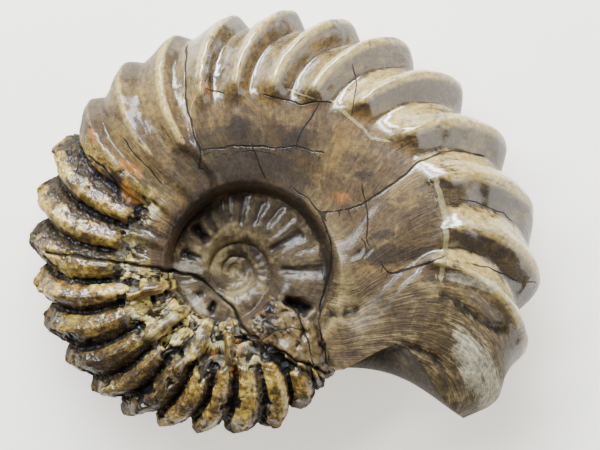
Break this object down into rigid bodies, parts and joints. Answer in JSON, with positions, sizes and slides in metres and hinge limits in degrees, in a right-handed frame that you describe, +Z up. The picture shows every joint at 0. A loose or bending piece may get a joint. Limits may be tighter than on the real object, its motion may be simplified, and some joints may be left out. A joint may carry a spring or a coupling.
{
  "type": "fossil ammonite",
  "caption": "Polished fossil ammonite, a coiled and ribbed shell turned to stone, lying on its side on worn flat spots, as a display or desk piece.",
  "frame": {"origin": "centre of the box around the shell, at the surface that it lies on", "axes": "+X along the shell's longest reach, towards the youngest part of the shell; +Y across the coil, away from the side where the aperture opens; +Z up, roughly along the axis of the coil"},
  "size_m": [0.1124, 0.0938, 0.0373],
  "materials": {
    "fossil_stone": "polished and lacquered brown stone on one side of a crack, rough golden crystals and black pits on the other"
  },
  "bodies": {
    "root": {"ammonite": "fossil_stone"}
  },
  "joints": []
}
